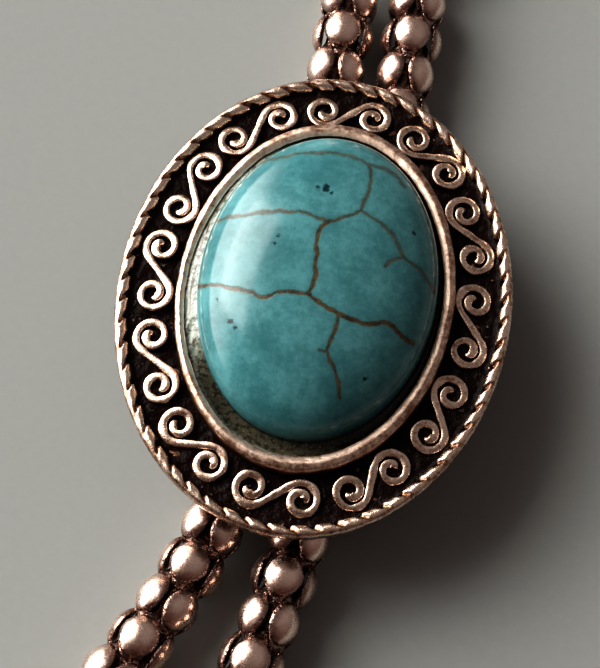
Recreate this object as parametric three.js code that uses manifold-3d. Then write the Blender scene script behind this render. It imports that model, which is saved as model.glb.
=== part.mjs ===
// Slide necklace with an oval turquoise: a cast oval slide carries the stone and rides on two strands of
// popcorn chain. The chain runs up behind the slide, once round the neck and back, and ends in two short tails.
// The necklace lies face up on a flat surface.
//
// Millimetres, +Z up. The origin is on the surface under the middle of the slide, +Y runs along the slide's
// long axis towards the neck loop, and +X is to the right of it, seen from above.

import * as THREE from "three";
import { mergeVertices } from "three/addons/utils/BufferGeometryUtils.js";
import Module from "manifold-3d";

const wasm = await Module();
wasm.setup();

// Chain
const CHAIN_RADIUS = 2.5; // to the crown of a dome
const CHAIN_CORE_RADIUS = 1.75; // folded arms that hold the domes, seen as one core
const LEVEL_PITCH = 3.28; // from one ring of four domes to the next, which is turned by half a dome
const DOMES_PER_LEVEL = 4;
const DOME_SIDES = 10;
const CORE_SIDES = 8;
const NECK_TUBE_SIDES = 10;
const NECK_TUBE_STEPS = 58;
const STRAND_STEPS = 24;
const HIDDEN_FROM_Y = -15.4; // behind the slide a strand is a plain round length, without its domes
const HIDDEN_TO_Y = 16.2;
const HIDDEN_RADIUS = 2.3;
const HIDDEN_STEPS = 12;
const END_GAP = 0.3; // between the faces of two lengths of chain, and of a chain and its cap

// Profile of one dome: distance from its own axis, and height above the chain's axis
const DOME_PROFILE = [
  { across: 0, height: 1.2 },
  { across: 1.55, height: 1.52 },
  { across: 1.05, height: 2.22 },
  { across: 0, height: CHAIN_RADIUS },
];

// Strands, from the tip of the tail, up behind the slide, to the start of the neck loop.
// anchor_y is where a dome of the tail faces straight up, and the other levels are counted from it.
const STRANDS = {
  left: {
    anchor_y: -26.26,
    route: [
      { x: -12.3, y: -33.4 },
      { x: -9.9, y: -29.3 },
      { x: -7.5, y: -24.6 },
      { x: -5.6, y: -20.0 },
      { x: -4.1, y: -14.5 },
      { x: -3.1, y: -5.0 },
      { x: -2.7, y: 5.0 },
      { x: -2.0, y: 14.0 },
      { x: -1.8, y: 20.0 },
      { x: -1.75, y: 26.0 },
      { x: -1.75, y: 32.0 },
    ],
  },
  right: {
    anchor_y: -26.47,
    route: [
      { x: -2.2, y: -33.4 },
      { x: -1.0, y: -29.5 },
      { x: 0.4, y: -24.5 },
      { x: 1.3, y: -19.5 },
      { x: 2.1, y: -14.5 },
      { x: 2.8, y: -5.0 },
      { x: 3.2, y: 5.0 },
      { x: 3.65, y: 14.0 },
      { x: 3.75, y: 20.0 },
      { x: 3.75, y: 26.0 },
      { x: 3.75, y: 32.0 },
    ],
  },
};

// Right half of the neck loop, measured from the line midway between the two strands
const NECK_MIDLINE_X = 1.0;
const NECK_HALF_ROUTE = [
  { out: 2.75, y: 32.0 + END_GAP },
  { out: 3.3, y: 42.0 },
  { out: 9.5, y: 59.0 },
  { out: 29.0, y: 83.0 },
  { out: 58.0, y: 112.0 },
  { out: 80.0, y: 148.0 },
  { out: 87.0, y: 189.0 },
  { out: 74.0, y: 229.0 },
  { out: 42.0, y: 256.0 },
];
const NECK_NAPE_Y = 265.0;

// Plain caps that close the tails
const CAP_LENGTH = 6.5;
const CAP_RADIUS = 2.4;
const CAP_SHOULDER = 3.0; // length of the straight part
const CAP_SIDES = 14;
const CAP_ROUND_STEPS = 4;

// Slide: every line of its border is offset from one nominal oval, the 18 x 25 mm seat
const SEAT_HALF_WIDTH = 9.0;
const SEAT_HALF_LENGTH = 12.5;
const BEZEL_INNER = 0.4;
const BEZEL_OUTER = 1.2;
const SCROLL_LINE = 2.95;
const ROPE_LINE = 5.22;
const PLATE_EDGE = 5.55;
const OVAL_SEGMENTS = 24;

const STRAP_THICKNESS = 0.8;
const STRAP_WIDTH = 10.0;
const STRAP_HALF_SPAN = 7.0;
const TUNNEL_CLEARANCE = 0.3;
const CHAIN_LIFT = STRAP_THICKNESS + TUNNEL_CLEARANCE; // of the chain inside the strap
const LIFT_STARTS_Y = 14.0;
const LIFT_ENDS_Y = 6.0;
const PLATE_BACK_Z = CHAIN_LIFT + 2 * CHAIN_RADIUS + TUNNEL_CLEARANCE;
const PLATE_THICKNESS = 1.1;
const PLATE_TOP_Z = PLATE_BACK_Z + PLATE_THICKNESS;
const BEZEL_TOP_Z = PLATE_TOP_Z + 1.8;
const BEZEL_ROUNDING = 0.22;
const SUNK = 0.3; // how far a joined piece reaches into the plate

const ROPE_BUMPS = 64; // half turns of the two twisted wires
const ROPE_STEPS_PER_BUMP = 3;
const ROPE_SIDES = 6;
const ROPE_MEAN_RADIUS = 0.36;
const ROPE_LOBE = 0.09;
const ROPE_Z = PLATE_TOP_Z + 0.2;

const SCROLLS = 12;
const SCROLL_EYE_SPACING = 3.5; // between the eyes of the two spirals of one scroll
const SCROLL_OUTER_RADIUS = 1.27;
const SCROLL_INNER_RADIUS = 0.3;
const SCROLL_SWEEP = THREE.MathUtils.degToRad(430);
const SCROLL_JOIN = THREE.MathUtils.degToRad(130); // where the diagonal runs into a spiral
const SCROLL_TIGHTENING = 1.8; // above 1, a spiral keeps its size at first and winds in at its eye
const SCROLL_SPIRAL_POINTS = 12;
const SCROLL_WIRE_FOOT = 0.6; // width where the wire meets the plate
const SCROLL_WIRE_CROWN = 0.34;
const SCROLL_RELIEF = 0.5;

// Stone: it is a little smaller than its seat and was glued in off the middle of it
const STONE_HALF_WIDTH = 8.85;
const STONE_HALF_LENGTH = 11.8;
const STONE_OFFSET = { x: 0.2, y: 0.6 };
const STONE_GIRDLE = 1.1;
const STONE_DOME = 4.7;
const STONE_SIDES = 40;
const STONE_RINGS = 6;
const STONE_DOME_FULLNESS = 0.86; // exponent of the dome's outline: 1 is half an ellipse
const STONE_SEAT_Z = PLATE_TOP_Z + 0.3;

const FINISH = {
  metal: { color: 0xb9978a, roughness: 0.28, metalness: 1.0 },
  setting: { color: 0xa98473, roughness: 0.35, metalness: 1.0 },
  stone: { color: 0x3f9c9c, roughness: 0.18, metalness: 0.0 },
};

// Solids and meshes

const WELD = 1e-4; // corners closer than this are one
const SLIVER = 0.03; // facets that change a joined solid by less than this are merged

function solidOf(geometry) {
  const bare = geometry.clone();
  bare.deleteAttribute("normal");
  bare.deleteAttribute("uv");
  const merged = mergeVertices(bare, WELD);
  return new wasm.Manifold(
    new wasm.Mesh({
      numProp: 3,
      vertProperties: new Float32Array(merged.attributes.position.array),
      triVerts: new Uint32Array(merged.index.array),
    }),
  );
}

function joined(geometries) {
  const solid = geometries.map(solidOf).reduce((whole, next) => whole.add(next));
  const mesh = solid.simplify(SLIVER).getMesh();
  const geometry = new THREE.BufferGeometry();
  geometry.setAttribute("position", new THREE.BufferAttribute(mesh.vertProperties, 3));
  geometry.setIndex(new THREE.BufferAttribute(mesh.triVerts, 1));
  geometry.computeVertexNormals();
  return geometry;
}

function namedMesh(name, geometry, finish) {
  const mesh = new THREE.Mesh(geometry, new THREE.MeshStandardMaterial(finish));
  mesh.name = name;
  return mesh;
}

// A regular polygon with a flat side towards +X, so that a flat faces down along a level route
function polygon(sides, radius) {
  const shape = new THREE.Shape();
  for (let k = 0; k < sides; k += 1) {
    const angle = ((k + 0.5) / sides) * 2 * Math.PI;
    const corner = [radius * Math.cos(angle), radius * Math.sin(angle)];
    if (k === 0) shape.moveTo(...corner);
    else shape.lineTo(...corner);
  }
  shape.closePath();
  return shape;
}

// An open smooth route through points
class Route extends THREE.CatmullRomCurve3 {
  constructor(points) {
    super(points, false, "catmullrom", 0.5);
  }
}

// A route whose steps follow its points, so that tight turns get as many steps as they have points
class PointedRoute extends Route {
  getUtoTmapping(share) {
    return share;
  }
}

function tube(section, route, steps) {
  return new THREE.ExtrudeGeometry(section, { steps, extrudePath: route, curveSegments: 1 });
}

// A ring of sections, closed round both ways
function closedLoft(stations, sides, pointAt) {
  const positions = [];
  const index = [];
  for (let i = 0; i < stations; i += 1) {
    for (let j = 0; j < sides; j += 1) {
      positions.push(...pointAt(i, j).toArray());
      const here = i * sides + j;
      const beside = i * sides + ((j + 1) % sides);
      const next = ((i + 1) % stations) * sides + j;
      const across = ((i + 1) % stations) * sides + ((j + 1) % sides);
      index.push(here, beside, across, here, across, next);
    }
  }
  const geometry = new THREE.BufferGeometry();
  geometry.setAttribute("position", new THREE.Float32BufferAttribute(positions, 3));
  geometry.setIndex(index);
  return geometry;
}

// Chain

// Height of a strand's axis: on the surface, and lifted where it passes through the strap
function axisHeight(y) {
  const lifted = 1 - THREE.MathUtils.smoothstep(Math.abs(y), LIFT_ENDS_Y, LIFT_STARTS_Y);
  return CHAIN_RADIUS + CHAIN_LIFT * lifted;
}

class StrandRoute extends THREE.Curve {
  constructor(points) {
    super();
    this.planar = new Route(points.map((p) => new THREE.Vector3(p.x, p.y, 0)));
  }

  getPoint(t, target = new THREE.Vector3()) {
    this.planar.getPoint(t, target);
    target.z = axisHeight(target.y);
    return target;
  }

  // Share of the length at which the route crosses a given y
  shareAtY(y) {
    const halvings = 40;
    let low = 0;
    let high = 1;
    for (let k = 0; k < halvings; k += 1) {
      const middle = (low + high) / 2;
      if (this.getPointAt(middle).y < y) low = middle;
      else high = middle;
    }
    return low;
  }
}

// Part of a route, between two shares of its length
class Stretch extends THREE.Curve {
  constructor(whole, from, to) {
    super();
    this.whole = whole;
    this.from = from;
    this.to = to;
  }

  getPoint(t, target = new THREE.Vector3()) {
    return this.whole.getPointAt(THREE.MathUtils.lerp(this.from, this.to, t), target);
  }
}

// One dome, standing on the chain's axis and facing out along +Y of its own frame
function dome() {
  const profile = DOME_PROFILE.map((p) => new THREE.Vector2(p.across, p.height));
  return new THREE.LatheGeometry(profile, DOME_SIDES);
}

// The four domes of one level; odd levels are turned by half the angle between two domes
function levelOfDomes(centre, tangent, level) {
  const along = tangent.clone().normalize();
  const up = new THREE.Vector3(0, 0, 1).addScaledVector(along, -along.z).normalize();
  const step = (2 * Math.PI) / DOMES_PER_LEVEL;
  return Array.from({ length: DOMES_PER_LEVEL }, (_, k) => {
    const out = up.clone().applyAxisAngle(along, (k + (level % 2 ? 0.5 : 0)) * step);
    const side = new THREE.Vector3().crossVectors(out, along);
    const frame = new THREE.Matrix4().makeBasis(side, out, along).setPosition(centre);
    return dome().applyMatrix4(frame);
  });
}

function strand({ anchor_y, route }) {
  const curve = new StrandRoute(route);
  const length = curve.getLength();
  const anchor = curve.shareAtY(anchor_y) * length;
  const first = -Math.floor((anchor - LEVEL_PITCH / 2) / LEVEL_PITCH);
  const last = Math.floor((length - LEVEL_PITCH / 2 - anchor) / LEVEL_PITCH);
  const hidden = new Stretch(curve, curve.shareAtY(HIDDEN_FROM_Y), curve.shareAtY(HIDDEN_TO_Y));
  const pieces = [
    tube(polygon(CORE_SIDES, CHAIN_CORE_RADIUS), curve, STRAND_STEPS),
    tube(polygon(CORE_SIDES, HIDDEN_RADIUS), hidden, HIDDEN_STEPS),
  ];
  for (let level = first; level <= last; level += 1) {
    const share = (anchor + level * LEVEL_PITCH) / length;
    const centre = curve.getPointAt(share);
    if (centre.y < HIDDEN_FROM_Y || centre.y > HIDDEN_TO_Y) {
      pieces.push(...levelOfDomes(centre, curve.getTangentAt(share), level));
    }
  }
  return joined(pieces);
}

function neckChain() {
  const right = NECK_HALF_ROUTE.map((p) => new THREE.Vector3(NECK_MIDLINE_X + p.out, p.y, CHAIN_RADIUS));
  const left = NECK_HALF_ROUTE.map((p) => new THREE.Vector3(NECK_MIDLINE_X - p.out, p.y, CHAIN_RADIUS));
  const nape = new THREE.Vector3(NECK_MIDLINE_X, NECK_NAPE_Y, CHAIN_RADIUS);
  const route = new Route([...right, nape, ...left.reverse()]);
  const cornerRadius = CHAIN_RADIUS / Math.cos(Math.PI / NECK_TUBE_SIDES);
  return tube(polygon(NECK_TUBE_SIDES, cornerRadius), route, NECK_TUBE_STEPS);
}

// A plain cap with a rounded end, in line with the last stretch of a tail
function endCap({ route }) {
  const curve = new StrandRoute(route);
  const out = curve.getTangentAt(0).negate().setZ(0).normalize();
  const profile = [new THREE.Vector2(0, 0), new THREE.Vector2(CAP_RADIUS, 0)];
  for (let k = 0; k < CAP_ROUND_STEPS; k += 1) {
    const angle = (k / CAP_ROUND_STEPS) * (Math.PI / 2);
    const height = CAP_SHOULDER + (CAP_LENGTH - CAP_SHOULDER) * Math.sin(angle);
    profile.push(new THREE.Vector2(CAP_RADIUS * Math.cos(angle), height));
  }
  profile.push(new THREE.Vector2(0, CAP_LENGTH));
  const geometry = new THREE.LatheGeometry(profile, CAP_SIDES);
  const turn = new THREE.Quaternion().setFromUnitVectors(new THREE.Vector3(0, 1, 0), out);
  const start = curve.getPointAt(0).addScaledVector(out, END_GAP);
  return geometry.applyQuaternion(turn).translate(start.x, start.y, start.z);
}

// Slide

function ovalShape(offset) {
  const shape = new THREE.Shape();
  shape.absellipse(0, 0, SEAT_HALF_WIDTH + offset, SEAT_HALF_LENGTH + offset, 0, 2 * Math.PI);
  return shape;
}

// A point of the border: angle clockwise from +Y, and offset from the seat
function ovalPoint(angle, offset, z) {
  const x = (SEAT_HALF_WIDTH + offset) * Math.sin(angle);
  const y = (SEAT_HALF_LENGTH + offset) * Math.cos(angle);
  return new THREE.Vector3(x, y, z);
}

// Angles that step evenly along the length of the oval at an offset
function evenAngles(count, offset) {
  const fine = 3600;
  const lengths = [0];
  for (let k = 1; k <= fine; k += 1) {
    const from = ovalPoint(((k - 1) / fine) * 2 * Math.PI, offset, 0);
    const to = ovalPoint((k / fine) * 2 * Math.PI, offset, 0);
    lengths.push(lengths[k - 1] + from.distanceTo(to));
  }
  const total = lengths[fine];
  let k = 0;
  return Array.from({ length: count }, (_, i) => {
    const wanted = (i / count) * total;
    while (lengths[k + 1] < wanted) k += 1;
    const part = (wanted - lengths[k]) / (lengths[k + 1] - lengths[k]);
    return ((k + part) / fine) * 2 * Math.PI;
  });
}

function plate() {
  const options = { depth: PLATE_THICKNESS, bevelEnabled: false, curveSegments: OVAL_SEGMENTS };
  return new THREE.ExtrudeGeometry(ovalShape(PLATE_EDGE), options).translate(0, 0, PLATE_BACK_Z);
}

function bezel() {
  const ring = ovalShape(BEZEL_OUTER - BEZEL_ROUNDING);
  ring.holes.push(ovalShape(BEZEL_INNER + BEZEL_ROUNDING));
  const foot = PLATE_TOP_Z - SUNK;
  return new THREE.ExtrudeGeometry(ring, {
    depth: BEZEL_TOP_Z - foot - 2 * BEZEL_ROUNDING,
    bevelSize: BEZEL_ROUNDING,
    bevelThickness: BEZEL_ROUNDING,
    bevelSegments: 2,
    curveSegments: OVAL_SEGMENTS,
  }).translate(0, 0, foot + BEZEL_ROUNDING);
}

// Two wires twisted together: a two-lobed section that turns as it goes round
function ropeEdge() {
  const stations = ROPE_BUMPS * ROPE_STEPS_PER_BUMP;
  const angles = evenAngles(stations, ROPE_LINE);
  return closedLoft(stations, ROPE_SIDES, (i, j) => {
    const turned = (i / ROPE_STEPS_PER_BUMP) * Math.PI;
    const around = (j / ROPE_SIDES) * 2 * Math.PI;
    const radius = ROPE_MEAN_RADIUS + ROPE_LOBE * Math.cos(2 * (around - turned));
    const offset = ROPE_LINE + radius * Math.cos(around);
    return ovalPoint(angles[i], offset, ROPE_Z + radius * Math.sin(around));
  });
}

// One spiral of a scroll in its own plane, from the middle of the diagonal to the eye:
// along the border and out from the seat
function halfScroll() {
  const points = [];
  for (let k = 0; k < SCROLL_SPIRAL_POINTS; k += 1) {
    const t = k / (SCROLL_SPIRAL_POINTS - 1);
    const angle = SCROLL_JOIN - SCROLL_SWEEP * t;
    const radius = THREE.MathUtils.lerp(SCROLL_OUTER_RADIUS, SCROLL_INNER_RADIUS, t ** SCROLL_TIGHTENING);
    points.push({
      along: SCROLL_EYE_SPACING / 2 + radius * Math.cos(angle),
      out: radius * Math.sin(angle),
    });
  }
  return points;
}

// Section of the wire with its foot sunk into the plate; the first axis of a section points down here
function scrollSection() {
  const foot = SCROLL_WIRE_FOOT / 2;
  const crown = SCROLL_WIRE_CROWN / 2;
  return new THREE.Shape([
    new THREE.Vector2(SUNK / 2, -foot),
    new THREE.Vector2(SUNK / 2, foot),
    new THREE.Vector2(-SCROLL_RELIEF, crown),
    new THREE.Vector2(-SCROLL_RELIEF, -crown),
  ]);
}

// An S of wire laid in the channel, centred at a given angle of the border
function scroll(angle) {
  const half = halfScroll();
  const turnedHalf = half.map((p) => ({ along: -p.along, out: -p.out }));
  const rate = Math.hypot(
    (SEAT_HALF_WIDTH + SCROLL_LINE) * Math.cos(angle),
    (SEAT_HALF_LENGTH + SCROLL_LINE) * Math.sin(angle),
  );
  const path = [...turnedHalf.reverse(), { along: 0, out: 0 }, ...half].map((p) =>
    ovalPoint(angle + p.along / rate, SCROLL_LINE + p.out, PLATE_TOP_Z),
  );
  return tube(scrollSection(), new PointedRoute(path), path.length - 1);
}

// A flat strap across the back: both strands pass through it
function backStrap() {
  const inside = STRAP_HALF_SPAN - STRAP_THICKNESS;
  const top = PLATE_BACK_Z + SUNK;
  const outline = [
    [-STRAP_HALF_SPAN, 0],
    [STRAP_HALF_SPAN, 0],
    [STRAP_HALF_SPAN, top],
    [inside, top],
    [inside, STRAP_THICKNESS],
    [-inside, STRAP_THICKNESS],
    [-inside, top],
    [-STRAP_HALF_SPAN, top],
  ];
  const shape = new THREE.Shape(outline.map(([x, z]) => new THREE.Vector2(x, z)));
  const extruded = new THREE.ExtrudeGeometry(shape, { depth: STRAP_WIDTH, bevelEnabled: false });
  return extruded.rotateX(Math.PI / 2).translate(0, STRAP_WIDTH / 2, 0);
}

function setting() {
  const scrolls = evenAngles(SCROLLS, SCROLL_LINE).map(scroll);
  return joined([plate(), bezel(), ropeEdge(), ...scrolls, backStrap()]);
}

// An oval cabochon: a flat back, a short upright girdle and a full dome
function stone() {
  const profile = [new THREE.Vector2(0, 0), new THREE.Vector2(1, 0)];
  for (let k = 0; k < STONE_RINGS; k += 1) {
    const angle = (k / STONE_RINGS) * (Math.PI / 2);
    const height = STONE_GIRDLE + STONE_DOME * Math.sin(angle) ** STONE_DOME_FULLNESS;
    profile.push(new THREE.Vector2(Math.cos(angle) ** STONE_DOME_FULLNESS, height));
  }
  profile.push(new THREE.Vector2(0, STONE_GIRDLE + STONE_DOME));
  const geometry = new THREE.LatheGeometry(profile, STONE_SIDES);
  return geometry.rotateX(Math.PI / 2).scale(STONE_HALF_WIDTH, STONE_HALF_LENGTH, 1);
}

// The necklace

const slide = new THREE.Group();
slide.add(namedMesh("setting", setting(), FINISH.setting));
const stoneMesh = namedMesh("stone", stone(), FINISH.stone);
stoneMesh.position.set(STONE_OFFSET.x, STONE_OFFSET.y, STONE_SEAT_Z);
slide.add(stoneMesh);

const chain = new THREE.Group();
for (const [side, plan] of Object.entries(STRANDS)) {
  chain.add(namedMesh(`strand_${side}`, strand(plan), FINISH.metal));
  chain.add(namedMesh(`end_cap_${side}`, endCap(plan), FINISH.metal));
}
chain.add(namedMesh("neck_chain", neckChain(), FINISH.metal));

const necklace = new THREE.Group();
necklace.add(slide, chain);

export default necklace;
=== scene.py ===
# Looks of the slide necklace with an oval turquoise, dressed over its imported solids.
# Sizes are in millimetres, in the frame of the solids, and become metres where a mesh is made.

import math
from dataclasses import dataclass

import bmesh
import bpy
import numpy as np
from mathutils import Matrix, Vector, noise


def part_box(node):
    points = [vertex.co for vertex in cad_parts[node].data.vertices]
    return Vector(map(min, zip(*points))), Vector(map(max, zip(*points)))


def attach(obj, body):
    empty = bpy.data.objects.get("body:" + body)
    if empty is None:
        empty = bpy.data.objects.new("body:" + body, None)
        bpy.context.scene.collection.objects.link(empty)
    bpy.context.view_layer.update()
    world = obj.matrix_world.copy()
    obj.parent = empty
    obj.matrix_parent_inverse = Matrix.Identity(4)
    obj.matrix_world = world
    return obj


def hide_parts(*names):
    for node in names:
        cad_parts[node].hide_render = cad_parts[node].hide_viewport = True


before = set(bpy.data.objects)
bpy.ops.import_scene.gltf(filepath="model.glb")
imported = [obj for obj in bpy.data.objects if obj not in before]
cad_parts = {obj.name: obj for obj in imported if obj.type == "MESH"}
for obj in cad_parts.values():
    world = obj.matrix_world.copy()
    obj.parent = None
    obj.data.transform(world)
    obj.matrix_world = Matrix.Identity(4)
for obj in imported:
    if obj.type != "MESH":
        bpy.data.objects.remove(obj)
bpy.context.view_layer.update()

MM = 0.001
UP = np.array([0.0, 0.0, 1.0])

# Photograph and its camera
PHOTO_WIDTH = 600
PHOTO_HEIGHT = 668
CAMERA_PLACE = np.array([7.46, -49.6, 145.6])
CAMERA_TARGET = np.array([-1.02, -0.19, 0.0])
FOCAL_PIXELS = 1973.0
SENSOR_HEIGHT = 36.0
CAMERA_NEAR = 0.005  # in metres

# Light: a wide window on the left, in metres, and a dim red room that glows towards some sides;
# a glow rises between two cosines of the angle to its middle
WINDOW = {"place": (-0.868, 0.405, 0.803), "size": (0.90, 0.67), "watts": 9.0, "colour": (1.0, 0.94, 0.89)}
ROOM_COLOUR = (0.068, 0.032, 0.026)
ROOM_GLOWS = [
    {"towards": (-0.70, 0.33, 0.62), "from": 0.84, "to": 0.99, "colour": (1.35, 1.3, 1.25)},
    {"towards": (-0.94, 0.33, 0.06), "from": 0.68, "to": 0.96, "colour": (6.3, 6.05, 5.8)},
    {"towards": (0.05, 0.55, 0.83), "from": 0.05, "to": 0.85, "colour": (0.095, 0.104, 0.102)},
    {"towards": (0.90, 0.0, 0.40), "from": 0.35, "to": 0.90, "colour": (0.06, 0.058, 0.056)},
]

# Floor, in metres
FLOOR_HALF = 3.0
FLOOR_Z = -0.00005

# Noise, and points of a fine oval
SEED_STEP = Vector((17.3, 5.1, 9.7))
OVAL_POINTS = 3601

# Chain
CHAIN_RADIUS = 2.5
LEVEL_PITCH = 3.28
DOMES_PER_LEVEL = 4
DOME_RADIUS = 1.48
DOME_SPHERE = 1.90  # radius of the ball that a dome is cut from
DOME_SPHERE_CENTRE = 0.60  # above the chain's axis
DOME_TIP = 0.12  # how far the two ends of a dome's rim are drawn out, as a share of its radius
DOME_TIP_SHARPNESS = 5
DOME_LIP = 0.13
DOME_WALL = 0.2
DOME_INSIDE = (0.86, 0.45)  # shares of its radius where the inside has a ring
# Painted shade, partly oxide: a dome's rim, lip and inside lose relief and are coloured darker
DOME_RIM_SHADING = 0.6  # loss of relief from a dome's middle to its rim
DOME_RIM_SHADING_SHARPNESS = 4
DOME_LIP_SHADE_RELIEF = 0.5
DOME_INSIDE_SHADE_RELIEF = 0.05
STRAND_DOME_SIDES = 24
STRAND_DOME_RINGS = 7
NECK_DOME_SIDES = 12
NECK_DOME_RINGS = 4
CORE_RADIUS = 0.85
CORE_SIDES = 8
CORE_RINGS_PER_LEVEL = 2
# relief 0: the core is painted dark, as shade between the domes
CORE_SHADE_RELIEF = 0.0
END_GAP = 0.3
ROUTE_STEPS = 40  # between two points of a route

# Arm of a dome, from under its rim to the middle of the next level
ARM_STATIONS = [
    {"along": 1.05, "out": 1.78, "half_width": 0.95},
    {"along": 1.45, "out": 1.76, "half_width": 0.72},
    {"along": 1.75, "out": 1.62, "half_width": 0.55},
    {"along": 2.20, "out": 1.42, "half_width": 0.46},
    {"along": 3.30, "out": 1.30, "half_width": 0.40},
]
ARM_THICKNESS = 0.22
ARM_TAPER = 0.85  # width of an arm's top, as a share of its foot's
# painted shade: an arm is coloured darker towards the core
ARM_SHADE_RELIEF = (0.6, 0.35)  # from its start to its end

# Strands, from the tip of the tail to the start of the neck loop
STRANDS = {
    "left": {
        "anchor_y": -26.26,
        "pitch": 3.235,
        "route": [
            (-12.3, -33.4), (-9.9, -29.3), (-7.5, -24.6), (-5.6, -20.0), (-4.1, -14.5), (-3.1, -5.0),
            (-2.7, 5.0), (-2.0, 14.0), (-1.8, 20.0), (-1.75, 26.0), (-1.75, 32.0),
        ],
    },
    "right": {
        "anchor_y": -26.47,
        "pitch": 3.245,
        "route": [
            (-2.2, -33.4), (-1.0, -29.5), (0.4, -24.5), (1.3, -19.5), (2.1, -14.5), (2.8, -5.0),
            (3.2, 5.0), (3.65, 14.0), (3.75, 20.0), (3.75, 26.0), (3.75, 32.0),
        ],
    },
}
CHAIN_LIFT = 1.1
LIFT_STARTS_Y = 14.0
LIFT_ENDS_Y = 6.0

# Right half of the neck loop: distance from its midline, and y
NECK_MIDLINE_X = 1.0
NECK_HALF_ROUTE = [
    (2.75, 32.3), (3.3, 42.0), (9.5, 59.0), (29.0, 83.0), (58.0, 112.0), (80.0, 148.0),
    (87.0, 189.0), (74.0, 229.0), (42.0, 256.0),
]
NECK_NAPE_Y = 265.0

# Plain caps of the tails
CAP_LENGTH = 6.5
CAP_RADIUS = 2.4
CAP_SHOULDER = 3.0
CAP_EDGE = 0.3
CAP_EDGE_STEP = 0.3  # share of the edge where its bevel bends
CAP_SIDES = 48
CAP_TIP_RINGS = 13
CAP_RELIEF = 0.9

# Slide: each line of its border is offset from the seat's oval
SEAT_HALF_WIDTH = 9.0
SEAT_HALF_LENGTH = 12.5
BEZEL_INNER_ENDS = 0.17
BEZEL_INNER_SIDES = 0.38
BEZEL_THINNING = 0.22  # at its lower left
BEZEL_OUTER = 1.31
BEZEL_SHIFT = np.array([0.10, 0.17, 0.0])
CHANNEL_INNER = 0.9
CHANNEL_MIDDLE = 2.95
CHANNEL_OUTER = 4.95
ROPE_LINE = 5.22
PLATE_EDGE = 5.55
PLATE_BACK_Z = 6.4
PLATE_TOP_Z = 7.5
BEZEL_TOP_Z = 9.3
ROPE_Z = 7.7
SUNK = 0.15
LOWER_LEFT = math.radians(235)  # clockwise from +Y

# A list of dents makes a skin uneven: each kind of dent has a depth, a size in millimetres and a seed.
# A side of the border has a middle, clockwise from +Y, and rises between two cosines of the angle to it.

# Section of the bezel: share of its width from the inner wall, height, and how bare the metal is
BEZEL_SECTION = [
    {"share": 0.00, "z": 7.35, "bare": 0.0}, {"share": 0.00, "z": 8.93, "bare": 0.3},
    {"share": 0.04, "z": 9.07, "bare": 0.9}, {"share": 0.12, "z": 9.13, "bare": 1.1},
    {"share": 0.28, "z": 9.19, "bare": 1.0}, {"share": 0.42, "z": 9.22, "bare": 0.9},
    {"share": 0.52, "z": 9.22, "bare": 0.85}, {"share": 0.66, "z": 9.17, "bare": 0.85},
    {"share": 0.78, "z": 9.11, "bare": 0.8}, {"share": 0.87, "z": 9.03, "bare": 0.75},
    {"share": 0.94, "z": 8.88, "bare": 0.7}, {"share": 0.98, "z": 8.64, "bare": 0.4},
    {"share": 1.00, "z": 7.35, "bare": 0.0},
]
BEZEL_STEPS = 3  # between two rows of the section
BEZEL_SIDES = 420
BEZEL_DENTS = [{"depth": 0.045, "size": 1.6, "seed": 1}, {"depth": 0.02, "size": 0.5, "seed": 2}]
BEZEL_THIN_SIDE = {"middle": LOWER_LEFT, "cosines": (0.45, 0.95)}

# Section of the plate's border: distance in from its edge, height, and how bare the metal is
PLATE_SECTION = [
    {"inwards": 1.5, "z": 7.48, "bare": 0.3}, {"inwards": 0.22, "z": 7.5, "bare": 0.6},
    {"inwards": 0.0, "z": 7.28, "bare": 0.8}, {"inwards": 0.0, "z": 6.62, "bare": 0.8},
    {"inwards": 0.066, "z": 6.466, "bare": 0.7}, {"inwards": 0.22, "z": 6.4, "bare": 0.55},
    {"inwards": 1.5, "z": 6.4, "bare": 0.5},
]
PLATE_SIDES = 300

CHANNEL_SIDES = 700
CHANNEL_RINGS = 30
CHANNEL_FLOOR_Z = 7.53
CHANNEL_RISE = 0.12  # up to the rope, over the last stretch of the channel's width
CHANNEL_RISE_WIDTH = 0.5
CHANNEL_DENTS = [{"depth": 0.06, "size": 1.2, "seed": 4}, {"depth": 0.05, "size": 0.5, "seed": 5}]
CHANNEL_RELIEF = 0.5

ROPE_STRANDS = 58
ROPE_STEPS = 16  # along each strand
ROPE_SIDES = 28
ROPE_RADIUS = 0.48
ROPE_NOTCH = 0.24
ROPE_TWIST = 0.28  # of a strand's length, from the rope's line to its inner side
ROPE_SWELLS = (0.02, 0.42)  # shares of a strand's length between which it swells
ROPE_ENDS = (0.90, 1.0)  # and between which it falls to the notch
ROPE_NOTCHED = (-0.45, 0.35)  # from outside to inside, where the notches begin and are full
ROPE_SHADED = (-0.7, -0.1)  # the same for the dark in them
ROPE_BARE_TOP = (-0.6, 0.0)  # from below to above, where the metal starts to be bare and where it is
ROPE_OUTSIDE_RELIEF = 0.85
ROPE_NOTCH_RELIEF = 0.30
ROPE_SWELL_RELIEF = 0.90  # more on a swollen strand than in a notch
ROPE_UNEVEN = [{"depth": 0.12, "size": 2.1, "seed": 3}]  # shares of a strand's length
ROPE_NOTCH_CHANGE = [{"depth": 0.5, "size": 1.3, "seed": 12}]  # shares of a notch's depth
ROPE_DENTS = [{"depth": 0.03, "size": 0.6, "seed": 15}]
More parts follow.
